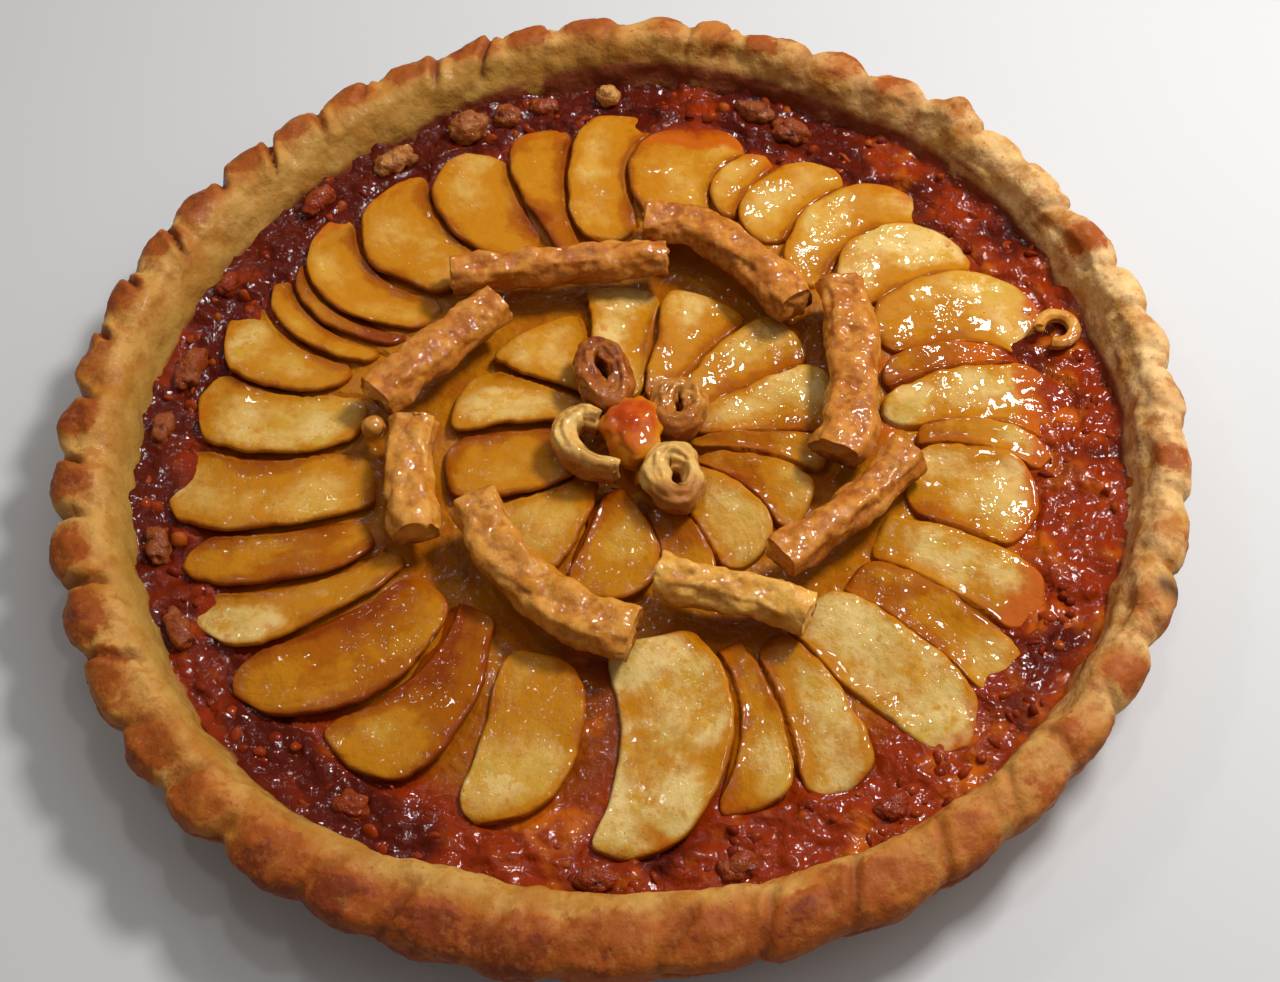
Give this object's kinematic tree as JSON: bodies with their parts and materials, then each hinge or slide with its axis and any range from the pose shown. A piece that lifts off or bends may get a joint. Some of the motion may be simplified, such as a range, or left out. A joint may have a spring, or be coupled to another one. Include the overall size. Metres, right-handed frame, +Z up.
{
  "type": "apple tart",
  "caption": "Open apple tart: fluted baked crust, dark red jam, two rounds of glazed fruit slices, a ring of pastry bars and a pastry flower.",
  "frame": {"origin": "middle of the flat base of the crust, on the surface it stands on", "axes": "+Z up through the filling; -Y is the side nearest the picture's camera"},
  "size_m": [0.2822, 0.2824, 0.0312],
  "materials": {
    "crust": "baked shortcrust, golden with browned patches, dull",
    "fruit": "cooked fruit flesh under a clear amber glaze, very glossy",
    "jam": "dark red-brown jam, wet and glossy",
    "pastry": "browned pastry under a thin glaze, half gloss"
  },
  "bodies": {
    "root": {"crust": "crust", "jam": "jam", "jam_drop": "jam", "pastry_curl": "pastry", "bar_back": "pastry", "bar_back_right": "pastry", "bar_right": "pastry", "bar_front_right": "pastry", "bar_front": "pastry", "bar_front_left": "pastry", "bar_left": "pastry", "bar_back_left": "pastry", "petal_back": "pastry", "petal_right": "pastry", "petal_front": "pastry", "petal_left": "pastry", "outer_slice_01": "fruit", "outer_slice_02": "fruit", "outer_slice_03": "fruit", "outer_slice_04": "fruit", "outer_slice_05": "fruit", "outer_slice_06": "fruit", "outer_slice_07": "fruit", "outer_slice_08": "fruit", "outer_slice_09": "fruit", "outer_slice_10": "fruit", "outer_slice_11": "fruit", "outer_slice_12": "fruit", "outer_slice_13": "fruit", "outer_slice_14": "fruit", "outer_slice_15": "fruit", "outer_slice_16": "fruit", "outer_slice_17": "fruit", "outer_slice_18": "fruit", "outer_slice_19": "fruit", "outer_slice_20": "fruit", "outer_slice_21": "fruit", "outer_slice_22": "fruit", "outer_slice_23": "fruit", "outer_slice_24": "fruit", "outer_slice_25": "fruit", "outer_slice_26": "fruit", "outer_slice_27": "fruit", "outer_slice_28": "fruit", "outer_slice_29": "fruit", "outer_slice_30": "fruit", "outer_slice_31": "fruit", "inner_slice_01": "fruit", "inner_slice_02": "fruit", "inner_slice_03": "fruit", "inner_slice_04": "fruit", "inner_slice_05": "fruit", "inner_slice_06": "fruit", "inner_slice_07": "fruit", "inner_slice_08": "fruit", "inner_slice_09": "fruit", "inner_slice_10": "fruit", "inner_slice_11": "fruit", "inner_slice_12": "fruit", "inner_slice_13": "fruit"}
  },
  "joints": []
}
